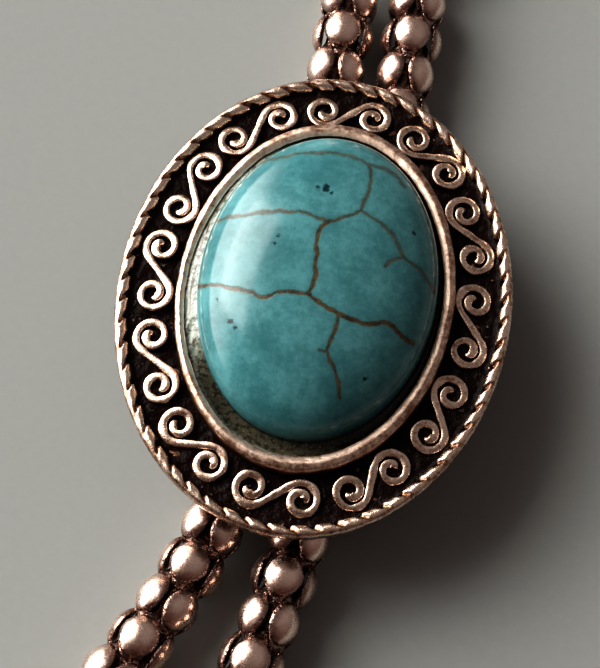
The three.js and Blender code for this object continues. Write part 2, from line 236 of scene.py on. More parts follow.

# Eyes of the scrolls, charted in pixels of the photograph, clockwise from the top
SCROLL_EYES = [
    ((325.5, 111.0), (373.0, 118.5)),
    ((415.5, 140.0), (447.0, 173.0)),
    ((465.0, 213.0), (475.0, 257.0)),
    ((475.0, 302.0), (467.0, 350.0)),
    ((451.0, 394.0), (428.0, 434.0)),
    ((392.0, 469.0), (351.0, 491.0)),
    ((301.0, 500.0), (251.0, 487.0)),
    ((208.0, 463.0), (178.5, 425.0)),
    ((159.0, 385.0), (152.0, 336.0)),
    ((153.0, 292.5), (162.0, 246.0)),
    ((179.5, 207.0), (206.0, 168.0)),
    ((235.5, 138.5), (280.0, 117.0)),
]
SCROLL_HEIGHT = 0.48
SCROLL_OUTER_RADIUS = 1.27
SCROLL_INNER_RADIUS = 0.14
SCROLL_SWEEP = math.radians(505)
SCROLL_JOIN = math.radians(130)
SCROLL_TIGHTENING = 1.5
SCROLL_SPIRAL_POINTS = 15
SCROLL_HALF_WIDTH = 0.285
SCROLL_EYE_HALF_WIDTH = 0.35
SCROLL_EYE_LENGTH = 1.0
SCROLL_EYE_FULL = 0.4  # share of an eye's length where it is fully swollen
SCROLL_STEPS = 6  # between two points of a scroll's line
SCROLL_RINGS = 190
SCROLL_TIP = 0.02  # start of the rounding at a tip
SCROLL_WIDTH_CHANGE = 0.30
SCROLL_WIDTH_WAVE = 0.8
SCROLL_HEIGHT_CHANGE = 0.12
SCROLL_HEIGHT_WAVE = 1.1
SCROLL_FIRST_SEED = 20
SCROLL_HEIGHT_SEED = 0.5  # added to a scroll's own seed
SCROLL_BARE = (0.05, 0.42)  # heights between which the metal becomes bare
SCROLL_TOP_RELIEF = 0.88
SCROLL_EDGE_RELIEF = 0.30  # more along a band's edges
SCROLL_EDGE = (0.55, 0.90)  # shares of the half width between which an edge begins
SCROLL_LEAN = 0.30  # fall of a band's top, outwards, for each millimetre of its width
SCROLL_TILT = 0.16  # fall of a whole scroll, outwards, for each millimetre
# Section of a scroll's band: share of its half width, and height above the plate
SCROLL_SECTION = [
    (-1.10, -SUNK), (-1.0, 0.32), (-0.92, 0.43), (-0.78, 0.475), (0.0, SCROLL_HEIGHT),
    (0.78, 0.475), (0.92, 0.43), (1.0, 0.32), (1.10, -SUNK),
]

STRAP_THICKNESS = 0.8
STRAP_HALF_WIDTH = 5.0
STRAP_HALF_SPAN = 7.0
STRAP_BEND = 1.3
STRAP_EDGE = 0.2
STRAP_BEND_POINTS = 9
STRAP_RELIEF = 0.75

# Stone, read from its solid
stone_low, stone_high = (np.array(corner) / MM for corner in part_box("stone"))
STONE_MIDDLE = (stone_low + stone_high) / 2
STONE_HALF_WIDTH, STONE_HALF_LENGTH = ((stone_high - stone_low) / 2)[:2]
STONE_SEAT_Z = stone_low[2]
STONE_GIRDLE = 1.1
STONE_DOME = stone_high[2] - STONE_SEAT_Z - STONE_GIRDLE
STONE_FULLNESS = 0.86
STONE_SIDES = 420
STONE_RINGS = 110
STONE_FOOT_SHARE = 0.97
STONE_FOOT_HEIGHT = 0.1

# Veins of the stone, charted in pixels of the photograph; width is half a vein's, in pixels
VEINS = [
    {"width": 1.15, "depth": 0.65, "pixels": [
        (247, 168), (260, 163), (287, 156), (313, 153), (340, 154), (360, 160), (370, 165), (383, 167),
        (396, 176), (405, 187)]},
    {"width": 1.6, "depth": 0.75, "pixels": [(369, 165), (371, 180), (366, 197), (361, 211)]},
    {"width": 1.3, "depth": 0.85, "pixels": [
        (206, 221), (218, 220), (243, 215), (267, 212), (292, 211), (313, 215), (330, 221), (345, 216),
        (361, 211)]},
    {"width": 2.0, "depth": 0.95, "pixels": [
        (330, 221), (320, 230), (317, 247), (316, 263), (315, 277), (309, 293)]},
    {"width": 1.4, "depth": 0.7, "pixels": [
        (361, 211), (373, 218), (383, 225), (393, 235), (400, 247), (404, 257), (417, 267), (428, 280),
        (434, 293)]},
    {"width": 1.3, "depth": 0.7, "pixels": [(404, 257), (393, 260), (385, 267)]},
    {"width": 1.6, "depth": 0.95, "pixels": [
        (190, 288), (197, 287), (215, 285), (233, 289), (250, 292), (262, 297), (277, 293), (293, 292),
        (309, 294)]},
    {"width": 2.1, "depth": 1.0, "pixels": [
        (309, 294), (320, 303), (338, 313), (353, 320), (367, 324), (388, 323), (398, 333), (413, 344)]},
    {"width": 1.6, "depth": 0.9, "pixels": [
        (338, 314), (335, 330), (330, 343), (327, 352), (333, 367), (337, 377), (340, 398)]},
    {"width": 1.5, "depth": 0.8, "pixels": [(327, 352), (318, 350)]},
]
VEIN_STEPS = 5  # between two points of a vein
# How far veins and specks stray from their pixels, across and down, in waves of a size in millimetres
VEIN_SHAKES = [
    {"pixels": 1.8, "size": 0.8, "seeds": (6, 7)},
    {"pixels": 1.1, "size": 0.28, "seeds": (10, 11)},
]
# Dark specks of the stone: pixel of the photograph, and radius in pixels
SPECKS = [
    ((326, 188), 2.8), ((317, 187), 1.0), ((331, 193), 0.8), ((414, 233), 1.3), ((365, 379), 1.5),
    ((230, 321), 2.0), ((234, 328), 1.2), ((217, 299), 1.0), ((279, 236), 0.8), ((274, 244), 0.9),
]

# Glue in the gap between stone and bezel: shares run from the stone to the bezel, and relief is thinness
# with painted light: pale with painted glare on its side towards the light, black as painted shade where it
# is low
GLUE_SIDES = 360
GLUE_RINGS = 25
GLUE_START = 0.985  # share of the stone's outline
GLUE_UNDER_BEZEL = 0.06
GLUE_LOW_Z = 7.95
GLUE_FULL_SIDE = {"middle": math.radians(283), "cosines": (0.30, 0.80)}
GLUE_RISE = 0.98  # where the gap is full
GLUE_CLIMB = 0.42  # up the stone, where the gap is full
GLUE_CLIMB_SHARPNESS = 1.6
GLUE_HOLLOW = 0.12  # in the middle, where the gap isn't full
GLUE_STRETCH = np.array([1.0, 0.3, 1.0])  # draws its waves out along Y
GLUE_RIPPLES = [{"depth": 0.06, "size": 0.40, "seed": 8}]
GLUE_DENTS = [{"depth": 0.03, "size": 0.7, "seed": 9}]
# the thin glue's side faces the light from the left: its pale is partly painted glare
GLUE_THIN_LIT_SIDE = {"middle": math.radians(294), "cosines": (0.2, 0.8)}
GLUE_THIN_LIT_ENDS = (0.86, 0.96)  # shares between which thin glue ends
GLUE_BROWN_SIDE = {"middle": LOWER_LEFT, "cosines": (0.1, 0.6)}
GLUE_BROWN_RELIEF = 0.30
GLUE_EDGE_RELIEF = 0.50  # more towards the bezel
GLUE_EDGE = (0.64, 0.82)  # shares between which it grows

# Crack along the thin glue, dark as painted shade
CRACK_SHARE = 0.55
CRACK_WANDER = [{"depth": 0.12, "size": 1.4, "seed": 13}]
CRACK_WIDTH = (0.03, 0.09)  # shares from its middle between which it fades
CRACK_BREAKS = [{"depth": 1.0, "size": 0.7, "seed": 14}]
CRACK_OPENS = (-0.1, 0.2)  # heights of its breaks between which it opens

# Colours
CAST_TARNISH = (0.035, 0.011, 0.006)
CAST_COPPER = (0.31, 0.180, 0.122)
CAST_BARE = (0.86, 0.700, 0.580)
CAST_GRIT = (0.24, 0.145, 0.098)
CHANNEL_BLACK = (0.010, 0.004, 0.003)
CHANNEL_RUBBED = (0.34, 0.25, 0.22)
# Chain: the fold colour is painted shade in the folds, dome insides, arms and core
CHAIN_FOLD_SHADE = (0.120, 0.080, 0.067)
CHAIN_RIM = (0.48, 0.335, 0.285)
CHAIN_TOP = (0.90, 0.715, 0.620)
STONE_DEEP = (0.046, 0.162, 0.177)
STONE_PALE = (0.102, 0.276, 0.296)
STONE_DUST = (0.035, 0.125, 0.145)
STONE_SPECK = (0.005, 0.022, 0.030)
VEIN_DARK = (0.038, 0.034, 0.021)
VEIN_BROWN = (0.100, 0.077, 0.045)
VEIN_HALO = (0.060, 0.150, 0.145)
# Glue: the black is painted shade in the gap, and the pale is partly painted glare
GLUE_SHADE_BLACK = (0.005, 0.004, 0.003)
GLUE_OLIVE = (0.085, 0.083, 0.056)
GLUE_PALE_AND_GLARE = (0.270, 0.320, 0.275)
GLUE_STREAK = (0.012, 0.010, 0.007)
GLUE_BITS = (0.34, 0.26, 0.12)
FLOOR_DARK = (0.285, 0.308, 0.303)
FLOOR_PALE = (0.323, 0.348, 0.342)

# Roughness of the casting, from its smoothest to its roughest
CAST_ROUGHNESS = (0.20, 0.36)
SATIN_ROUGHNESS = (0.30, 0.50)

# Sockets of a node that mixes colours
MIX_SHARE = 0
MIX_FIRST = 6
MIX_SECOND = 7
MIX_RESULT = 2


# Solids

@dataclass
class Solid:
    """A closed skin: points in millimetres, its faces, and how far each point stands out of the recesses."""

    points: np.ndarray
    triangles: np.ndarray
    quads: np.ndarray
    relief: np.ndarray


def between_rings(rings, sides, closed):
    """Quads that join each ring of points to the next, and the last to the first if closed."""
    here = np.arange(rings if closed else rings - 1)[:, None]
    side = np.arange(sides)[None, :]
    beside = (side + 1) % sides
    after = (here + 1) % rings
    corners = [here * sides + side, here * sides + beside, after * sides + beside, after * sides + side]
    return np.stack(np.broadcast_arrays(*corners), -1).reshape(-1, 4)


def hoop(rings, relief):
    """A ring of sections, closed both ways."""
    count, sides, _ = rings.shape
    return Solid(
        rings.reshape(-1, 3),
        np.zeros((0, 3), int),
        between_rings(count, sides, True),
        np.broadcast_to(relief, (count, sides)).reshape(-1),
    )


def shell(rings, first, last, relief):
    """Rings of points, closed at both ends by a point."""
    count, sides, _ = rings.shape
    start = count * sides
    side = np.arange(sides)
    beside = (side + 1) % sides
    low = np.stack([np.full(sides, start), beside, side], -1)
    top = start - sides
    high = np.stack([np.full(sides, start + 1), top + side, top + beside], -1)
    relief = np.broadcast_to(relief, (count, sides))
    return Solid(
        np.concatenate([rings.reshape(-1, 3), [first], [last]]),
        np.concatenate([low, high]),
        between_rings(count, sides, False),
        np.concatenate([relief.reshape(-1), [relief[0].mean()], [relief[-1].mean()]]),
    )


def joined(solids):
    """Several solids as one."""
    starts = np.cumsum([0] + [len(s.points) for s in solids[:-1]])
    return Solid(
        np.concatenate([s.points for s in solids]),
        np.concatenate([s.triangles + start for s, start in zip(solids, starts)]),
        np.concatenate([s.quads + start for s, start in zip(solids, starts)]),
        np.concatenate([s.relief for s in solids]),
    )


def copies(solid, centres, sides, outs, alongs):
    """A solid in its own frame (side, out, along), repeated in each of the given frames."""
    axes = np.stack([sides, outs, alongs], 1)
    points = np.einsum("pk,fkx->fpx", solid.points, axes) + centres[:, None, :]
    starts = (np.arange(len(centres)) * len(solid.points))[:, None, None]
    return Solid(
        points.reshape(-1, 3),
        (solid.triangles[None] + starts).reshape(-1, 3),
        (solid.quads[None] + starts).reshape(-1, 4),
        np.tile(solid.relief, len(centres)),
    )


def add_piece(name, solid, material, stands_for=None, fields=None):
    """Makes a piece of the necklace from a solid; fields are more values for each point, by name."""
    mesh = bpy.data.meshes.new(name)
    mesh.from_pydata((solid.points * MM).tolist(), [], solid.triangles.tolist() + solid.quads.tolist())
    for field, values in {"relief": solid.relief, **(fields or {})}.items():
        attribute = mesh.attributes.new(field, "FLOAT", "POINT")
        attribute.data.foreach_set("value", np.ascontiguousarray(values, np.float32))
    skin = bmesh.new()
    skin.from_mesh(mesh)
    bmesh.ops.recalc_face_normals(skin, faces=skin.faces)
    skin.to_mesh(mesh)
    skin.free()
    mesh.shade_smooth()
    mesh.materials.append(material)
    piece = bpy.data.objects.new(name, mesh)
    bpy.context.scene.collection.objects.link(piece)
    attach(piece, "root")
    if stands_for:
        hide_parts(stands_for)
    return piece


# Curves

def unit(vectors):
    return vectors / np.linalg.norm(vectors, axis=-1, keepdims=True)


def smoothstep(values, low, high):
    share = np.clip((values - low) / (high - low), 0, 1)
    return share * share * (3 - 2 * share)


def wobble(points, size, seed):
    """Smooth noise from about -1 to 1 at each point, with waves of a given size."""
    shift = SEED_STEP * seed
    values = [noise.noise(Vector(point) / size + shift) for point in np.asarray(points).reshape(-1, 3)]
    return np.array(values).reshape(np.shape(points)[:-1])


def rough(points, dents):
    """An uneven skin: how far each point stands out."""
    return sum(dent["depth"] * wobble(points, dent["size"], dent["seed"]) for dent in dents)


def near(angles, middle, cosines):
    """1 on one side of the border and 0 away from it."""
    return smoothstep(np.cos(angles - middle), *cosines)


def curve_through(points, steps):
    """A smooth open curve through points, with a number of steps between each two."""
    points = np.asarray(points, float)
    ends = [2 * points[0] - points[1]], [2 * points[-1] - points[-2]]
    held = np.concatenate([ends[0], points, ends[1]])
    share = np.linspace(0, 1, steps, endpoint=False)[:, None]
    spans = []
    for before, start, end, after in zip(held, held[1:], held[2:], held[3:]):
        leave, arrive = (end - before) / 2, (after - start) / 2
        rise = 3 * (end - start) - 2 * leave - arrive
        fall = 2 * (start - end) + leave + arrive
        spans.append(start + leave * share + rise * share**2 + fall * share**3)
    return np.concatenate([*spans, points[-1:]])


class Path:
    """A curve of many points that is read by its length."""

    def __init__(self, points):
        self.points = points
        self.lengths = np.concatenate([[0], np.cumsum(np.linalg.norm(np.diff(points, axis=0), axis=1))])
        self.length = self.lengths[-1]

    def at(self, distance):
        return np.stack([np.interp(distance, self.lengths, column) for column in self.points.T], -1)

    def direction(self, distance):
        reach = 0.05
        return unit(self.at(np.asarray(distance) + reach) - self.at(np.asarray(distance) - reach))

    def distance_at_y(self, y):
        return np.interp(y, self.points[:, 1], self.lengths)


def oval(angles, offset, z):
    """Points of the border: angles clockwise from +Y, and offset outwards from the seat."""
    x = (SEAT_HALF_WIDTH + offset) * np.sin(angles)
    y = (SEAT_HALF_LENGTH + offset) * np.cos(angles)
    return np.stack(np.broadcast_arrays(x, y, z), -1)


def even_angles(count, offset):
    """Angles that step evenly along the oval at an offset."""
    fine = np.linspace(0, 2 * math.pi, OVAL_POINTS)
    path = Path(oval(fine, offset, 0.0))
    return np.interp(np.arange(count) / count * path.length, path.lengths, fine)


def camera_axes():
    look = unit(CAMERA_TARGET - CAMERA_PLACE)
    right = unit(np.cross(look, UP))
    return look, right, np.cross(right, look)


def photo_pixels(points):
    """Where points appear in the photograph."""
    look, right, above = camera_axes()
    seen = points - CAMERA_PLACE
    depth = seen @ look
    x = PHOTO_WIDTH / 2 + FOCAL_PIXELS * (seen @ right) / depth
    y = PHOTO_HEIGHT / 2 - FOCAL_PIXELS * (seen @ above) / depth
    return np.stack([x, y], -1)


def seen_at(pixel, z):
    """The point at a height that appears at a pixel of the photograph."""
    look, right, above = camera_axes()
    x, y = pixel
    ray = FOCAL_PIXELS * look + (x - PHOTO_WIDTH / 2) * right - (y - PHOTO_HEIGHT / 2) * above
    return CAMERA_PLACE + ray * (z - CAMERA_PLACE[2]) / ray[2]


# Materials

class Look:
    """A node material that is put together step by step."""

    def __init__(self, name):
        self.material = bpy.data.materials.new(name)
        self.material.use_nodes = True
        self.tree = self.material.node_tree
        self.tree.nodes.clear()
        self.shader = self.add("ShaderNodeBsdfPrincipled", {})
        self.add("ShaderNodeOutputMaterial", {"Surface": self.shader.outputs["BSDF"]})
        self.place = self.add("ShaderNodeTexCoord", {}).outputs["Object"]

    def add(self, kind, inputs, **settings):
        node = self.tree.nodes.new(kind)
        for name, value in settings.items():
            setattr(node, name, value)
        for name, value in inputs.items():
            self.set(node.inputs[name], value)
        return node

    def set(self, socket, value):
        if isinstance(value, bpy.types.NodeSocket):
            self.tree.links.new(value, socket)
        else:
            socket.default_value = value

    def shade(self, **inputs):
        """Sets inputs of the shader, named with _ for a space."""
        for name, value in inputs.items():
            self.set(self.shader.inputs[name.replace("_", " ")], value)

    def field(self, name):
        return self.add("ShaderNodeAttribute", {}, attribute_name=name).outputs["Fac"]

    def grain(self, size, detail=3.0, roughness=0.55):
        """Noise with waves of a given size in millimetres, from 0 to 1."""
        inputs = {"Vector": self.place, "Scale": 1 / (size * MM), "Detail": detail, "Roughness": roughness}
        return self.add("ShaderNodeTexNoise", inputs).outputs["Fac"]

    def ramp(self, value, low, high, start=0.0, end=1.0):
        """A value between low and high, eased into start to end."""
        inputs = {"Value": value, "From Min": low, "From Max": high, "To Min": start, "To Max": end}
        return self.add("ShaderNodeMapRange", inputs, interpolation_type="SMOOTHSTEP").outputs["Result"]

    def sum(self, first, second, share):
        """First plus a share of second."""
        node = self.add("ShaderNodeMath", {}, operation="MULTIPLY_ADD")
        for socket, value in zip(node.inputs, (second, share, first)):
            self.set(socket, value)
        return node.outputs["Value"]

    def product(self, first, second):
        node = self.add("ShaderNodeMath", {}, operation="MULTIPLY")
        for socket, value in zip(node.inputs, (first, second)):
            self.set(socket, value)
        return node.outputs["Value"]

    def mix(self, share, first, second):
        """Colours mixed by a share."""
        node = self.add("ShaderNodeMix", {}, data_type="RGBA")
        colours = [c if isinstance(c, bpy.types.NodeSocket) else (*c, 1.0) for c in (first, second)]
        self.set(node.inputs[MIX_SHARE], share)
        self.set(node.inputs[MIX_FIRST], colours[0])
        self.set(node.inputs[MIX_SECOND], colours[1])
        return node.outputs[MIX_RESULT]

    def bump(self, height, depth, strength=1.0, under=None):
        """Fine relief, depth millimetres deep."""
        inputs = {"Height": height, "Distance": depth * MM, "Strength": strength}
        if under:
            inputs["Normal"] = under
        return self.add("ShaderNodeBump", inputs).outputs["Normal"]


def cast_metal(name, smoothest, roughest):
    """Antiqued copper-silver casting: worn bright where it stands out, brown and black where it doesn't."""
    look = Look(name)
    cloud = look.grain(1.5, detail=4.0)
    patch = look.grain(0.34, detail=5.0, roughness=0.7)
    grit = look.grain(0.11, detail=4.0, roughness=0.7)
    worn = look.sum(look.field("relief"), look.sum(cloud, patch, 1.1), 1.1)
    colour = look.mix(look.ramp(worn, 1.15, 1.70), CAST_TARNISH, CAST_COPPER)
    colour = look.mix(look.ramp(worn, 1.70, 2.25), colour, CAST_BARE)
    colour = look.mix(look.ramp(grit, 0.52, 0.68, 0.0, 0.45), colour, CAST_GRIT)
    look.shade(
        Base_Color=colour,
        Metallic=1.0,
        Roughness=look.ramp(look.sum(grit, patch, 0.7), 0.5, 1.2, smoothest, roughest),
        Normal=look.bump(patch, 0.14, 0.24, look.bump(grit, 0.05, 0.3)),
    )
    return look.material


def black_channel():
    """Glossy black in the channel, put on unevenly, with some metal rubbed through."""
    look = Look("black_channel")
    smear = look.grain(0.8, detail=5.0, roughness=0.6)
    fleck = look.grain(0.24, detail=4.0, roughness=0.6)
    bare = look.ramp(look.sum(smear, fleck, 0.7), 1.04, 1.14)
    look.shade(
        Base_Color=look.mix(bare, CHANNEL_BLACK, CHANNEL_RUBBED),
        Metallic=bare,
        Roughness=look.ramp(fleck, 0.3, 0.7, 0.07, 0.20),
        Specular_IOR_Level=0.12,
        Normal=look.bump(fleck, 0.14, 0.5, look.bump(smear, 0.20, 0.6)),
    )
    return look.material


def chain_metal():
    """Polished rose-silver plating, darker towards its folds, dome rims, arms and core: painted shade,
    partly oxide.
    """
    look = Look("chain_metal")
    cloud = look.grain(1.1, detail=4.0)
    dent = look.grain(0.6, detail=3.0)
    scratch = look.grain(0.14, detail=4.0, roughness=0.7)
    relief = look.field("relief")
    # low relief turns dark here, as painted shade in the folds, rims, arms and core
    worn = look.sum(relief, cloud, 0.5)
    colour = look.mix(look.ramp(worn, 0.30, 0.95), CHAIN_FOLD_SHADE, CHAIN_RIM)
    colour = look.mix(look.ramp(worn, 0.80, 1.25), colour, CHAIN_TOP)
    folded = look.ramp(relief, 0.38, 0.72, 0.8, 0.10)
    look.shade(
        Base_Color=colour,
        Metallic=1.0,
        Roughness=look.ramp(look.sum(scratch, cloud, 0.4), 0.4, 0.95, 0.20, 0.36),
        Normal=look.bump(dent, 0.45, folded, look.bump(scratch, 0.02, 0.2)),
    )
    return look.material


def turquoise():
    """Polished turquoise, cloudy, with brown matrix veins."""
    look = Look("turquoise")
    cloud = look.grain(3.6, detail=4.0, roughness=0.6)
    mottle = look.grain(0.55, detail=5.0, roughness=0.7)
    dust = look.grain(0.14, detail=3.0, roughness=0.7)
    depth = look.sum(cloud, mottle, 0.55)
    colour = look.mix(look.ramp(depth, 0.55, 1.00), STONE_DEEP, STONE_PALE)
    colour = look.mix(look.ramp(dust, 0.58, 0.76, 0.0, 0.5), colour, STONE_DUST)
    ragged = look.sum(look.sum(look.field("vein_gap"), mottle, -3.4), dust, -2.2)
    vein = look.product(look.ramp(ragged, -1.5, -3.5), look.field("vein_depth"))
    halo = look.ramp(ragged, 0.5, -3.2, 0.0, 0.4)
    brown = look.mix(look.ramp(mottle, 0.38, 0.62), VEIN_DARK, VEIN_BROWN)
    colour = look.mix(halo, colour, VEIN_HALO)
    colour = look.mix(vein, colour, brown)
    speck = look.ramp(look.sum(look.field("speck_gap"), dust, -7.0), -1.8, -3.6, 0.0, 0.95)
    colour = look.mix(speck, colour, STONE_SPECK)
    look.shade(
        Base_Color=colour,
        Roughness=look.ramp(look.sum(mottle, vein, 0.5), 0.3, 1.1, 0.11, 0.26),
        Specular_IOR_Level=0.40,
        Normal=look.bump(vein, -0.03, 0.4, look.bump(dust, 0.010, 0.25)),
    )
    return look.material


def old_glue():
    """Clear glue with dust and bits of metal in it: pale grey-green where it is thin on its side towards the
    light, partly painted glare, brown where it is deep, and black elsewhere as painted shade.
    """
    look = Look("old_glue")
    cloud = look.grain(0.9, detail=4.0)
    streak = look.grain(0.35, detail=3.0)
    bits = look.grain(0.16, detail=2.0)
    lit_and_thin = look.sum(look.field("relief"), cloud, 0.5)
    # black here is painted shade in the gap; pale is partly painted glare
    colour = look.mix(look.ramp(lit_and_thin, 0.15, 0.55), GLUE_SHADE_BLACK, GLUE_OLIVE)
    colour = look.mix(look.ramp(lit_and_thin, 0.60, 1.25), colour, GLUE_PALE_AND_GLARE)
    colour = look.mix(look.ramp(streak, 0.46, 0.62, 0.0, 0.75), colour, GLUE_STREAK)
    colour = look.mix(look.ramp(bits, 0.63, 0.73), colour, GLUE_BITS)
    look.shade(
        Base_Color=colour,
        Roughness=look.ramp(bits, 0.3, 0.8, 0.06, 0.20),
        Specular_IOR_Level=0.4,
        Coat_Weight=0.1,
        Coat_Roughness=0.05,
        Normal=look.bump(streak, 0.08, 0.4),
    )
    return look.material


def pale_floor():
    look = Look("pale_floor")
    fine = look.grain(0.8, detail=3.0)
    look.shade(
        Base_Color=look.mix(fine, FLOOR_DARK, FLOOR_PALE),
        Roughness=look.ramp(fine, 0.2, 0.8, 0.75, 0.9),
    )
    return look.material


# Chain

def dome(sides, rings):
    """One hollow dome in its own frame: side, out from the chain's axis, and along it."""
    turn = np.arange(sides) / sides * 2 * math.pi
    outline = DOME_RADIUS * (1 + DOME_TIP * np.abs(np.sin(turn)) ** DOME_TIP_SHARPNESS)

    def height(share):
        return DOME_SPHERE_CENTRE + math.sqrt(DOME_SPHERE**2 - (share * DOME_RADIUS) ** 2)

    levels = []
    for share in np.arange(1, rings + 1) / rings:
        levels.append((share, height(share), 1 - DOME_RIM_SHADING * share**DOME_RIM_SHADING_SHARPNESS))
    levels.append((1.0, height(1.0) - DOME_LIP, DOME_LIP_SHADE_RELIEF))
    for share in DOME_INSIDE:
        levels.append((share, height(share) - DOME_WALL, DOME_INSIDE_SHADE_RELIEF))
    ring = [
        np.stack([share * outline * np.cos(turn), np.full(sides, out), share * outline * np.sin(turn)], -1)
        for share, out, _ in levels
    ]
    relief = np.array([row[2] for row in levels])[:, None]
    return shell(np.array(ring), [0, height(0), 0], [0, height(0) - DOME_WALL, 0], relief)


def arm(direction):
    """A strip that runs from a dome's rim, one way along the chain, to the middle of the next level."""
    rings = []
    for station in ARM_STATIONS:
        along, out, half = direction * station["along"], station["out"], station["half_width"]
        low = out - ARM_THICKNESS
        ends = [(-half, low), (half, low), (ARM_TAPER * half, out), (-ARM_TAPER * half, out)]
        rings.append([(side, height, along) for side, height in ends])
    rings = np.array(rings)
    relief = np.linspace(*ARM_SHADE_RELIEF, len(rings))[:, None]
    return shell(rings, rings[0].mean(0), rings[-1].mean(0), relief)


def popcorn(path, distances, odd, dome_sides, dome_rings):
    """Levels of domes at distances along a path, with the core between them, painted dark as shade."""
    centres = path.at(distances)
    alongs = path.direction(distances)
    ups = unit(UP - alongs * alongs[:, 2:])
    across = np.cross(alongs, ups)
    unit_solid = joined([dome(dome_sides, dome_rings), arm(1), arm(-1)])
    parts = []
    for k in range(DOMES_PER_LEVEL):
        turn = ((k + 0.5 * odd) * 2 * math.pi / DOMES_PER_LEVEL)[:, None]
        outs = ups * np.cos(turn) + across * np.sin(turn)
        parts.append(copies(unit_solid, centres, np.cross(outs, alongs), outs, alongs))
    parts.append(core(path))
    return joined(parts)


def core(path):
    """The round core that the arms of all levels close in on, dark all over as painted shade."""
    distances = np.linspace(0, path.length, int(path.length / LEVEL_PITCH * CORE_RINGS_PER_LEVEL))
    centres, alongs = path.at(distances), path.direction(distances)
    ups = unit(UP - alongs * alongs[:, 2:])
    across = np.cross(alongs, ups)
    turn = (np.arange(CORE_SIDES) / CORE_SIDES * 2 * math.pi)[None, :, None]
    rings = centres[:, None] + CORE_RADIUS * (ups[:, None] * np.cos(turn) + across[:, None] * np.sin(turn))
    return shell(rings, centres[0], centres[-1], CORE_SHADE_RELIEF)


def strand_path(route):
    plan = curve_through(route, ROUTE_STEPS)
    lifted = 1 - smoothstep(np.abs(plan[:, 1]), LIFT_ENDS_Y, LIFT_STARTS_Y)
    return Path(np.column_stack([plan, CHAIN_RADIUS + CHAIN_LIFT * lifted]))


def strand_levels(path, anchor_y, pitch):
    """Distances of a strand's levels, and 1 where a level is turned by half a dome."""
    anchor = path.distance_at_y(anchor_y)
    first = -math.floor((anchor - pitch / 2) / pitch)
    last = math.floor((path.length - pitch / 2 - anchor) / pitch)
    levels = np.arange(first, last + 1)
    return anchor + levels * pitch, levels % 2


def neck_path():
    right = [(NECK_MIDLINE_X + out, y, CHAIN_RADIUS) for out, y in NECK_HALF_ROUTE]
    left = [(NECK_MIDLINE_X - out, y, CHAIN_RADIUS) for out, y in reversed(NECK_HALF_ROUTE)]
    nape = (NECK_MIDLINE_X, NECK_NAPE_Y, CHAIN_RADIUS)
    return Path(curve_through([*right, nape, *left], ROUTE_STEPS))


def neck_levels(path, ends):
    """Distances and turns of the neck's levels, which carry on the pattern of both strands.

    A level that would lie past an end of the neck is left out.
    """
    (right_left_over, right_odd), (left_left_over, left_odd) = ends["right"], ends["left"]
    start = LEVEL_PITCH - right_left_over - END_GAP
    stop = path.length - (LEVEL_PITCH - left_left_over - END_GAP)
    steps = round((stop - start) / LEVEL_PITCH)
    if (steps + right_odd + left_odd) % 2:
        steps += 1
    distances = np.linspace(start, stop, steps + 1)
    odd = (np.arange(steps + 1) + right_odd + 1) % 2
    on_neck = (distances >= 0) & (distances <= path.length)
    return distances[on_neck], odd[on_neck]


def end_cap(path):
    """A plain cap with a rounded tip, in line with the last stretch of a tail."""
    out = unit(-path.direction(0.0) * [1, 1, 0])
    across = np.cross(UP, out)
    start = path.at(0.0) + out * END_GAP
    rounding = np.linspace(0, math.pi / 2, CAP_TIP_RINGS, endpoint=False)
    tip = CAP_LENGTH - CAP_SHOULDER
    bend = CAP_EDGE_STEP * CAP_EDGE
    profile = [(CAP_RADIUS - CAP_EDGE, 0.0), (CAP_RADIUS - bend, bend), (CAP_RADIUS, CAP_EDGE)]
    profile += [(CAP_RADIUS * math.cos(a), CAP_SHOULDER + tip * math.sin(a)) for a in rounding]
    turn = (np.arange(CAP_SIDES) / CAP_SIDES * 2 * math.pi)[:, None]
    round_about = UP * np.cos(turn) + across * np.sin(turn)
    rings = np.array([start + out * height + radius * round_about for radius, height in profile])
    return shell(rings, start, start + out * CAP_LENGTH, CAP_RELIEF)


def add_chain(metal):
    ends = {}
    for side, plan in STRANDS.items():
        path = strand_path(plan["route"])
        distances, odd = strand_levels(path, plan["anchor_y"], plan["pitch"])
        ends[side] = path.length - distances[-1], odd[-1]
        strand = popcorn(path, distances, odd, STRAND_DOME_SIDES, STRAND_DOME_RINGS)
        add_piece(f"strand_{side}_domes", strand, metal, f"strand_{side}")
        add_piece(f"tail_cap_{side}", end_cap(path), metal, f"end_cap_{side}")
    path = neck_path()
    distances, odd = neck_levels(path, ends)
    neck = popcorn(path, distances, odd, NECK_DOME_SIDES, NECK_DOME_RINGS)
    add_piece("neck_domes", neck, metal, "neck_chain")


# Slide

def bezel_inner(angles):
    """Offset of the bezel's inner wall: wider at the sides than at the ends, and widest on its thin side."""
    wider = (BEZEL_INNER_SIDES - BEZEL_INNER_ENDS) * np.sin(angles) ** 2
    return BEZEL_INNER_ENDS + wider + BEZEL_THINNING * near(angles, **BEZEL_THIN_SIDE)


def bezel():
    """The smooth, rounded rim round the stone."""
    share, heights, bare = curve_through([list(row.values()) for row in BEZEL_SECTION], BEZEL_STEPS).T
    angles = even_angles(BEZEL_SIDES, BEZEL_OUTER)[:, None]
    inner = bezel_inner(angles)
    offsets = inner + (BEZEL_OUTER - inner) * share
    worn = rough(oval(angles, offsets, heights), BEZEL_DENTS)
    worn = worn * smoothstep(heights, PLATE_TOP_Z, BEZEL_TOP_Z)
    return hoop(oval(angles, offsets + worn, heights + worn) + BEZEL_SHIFT, bare[None, :])


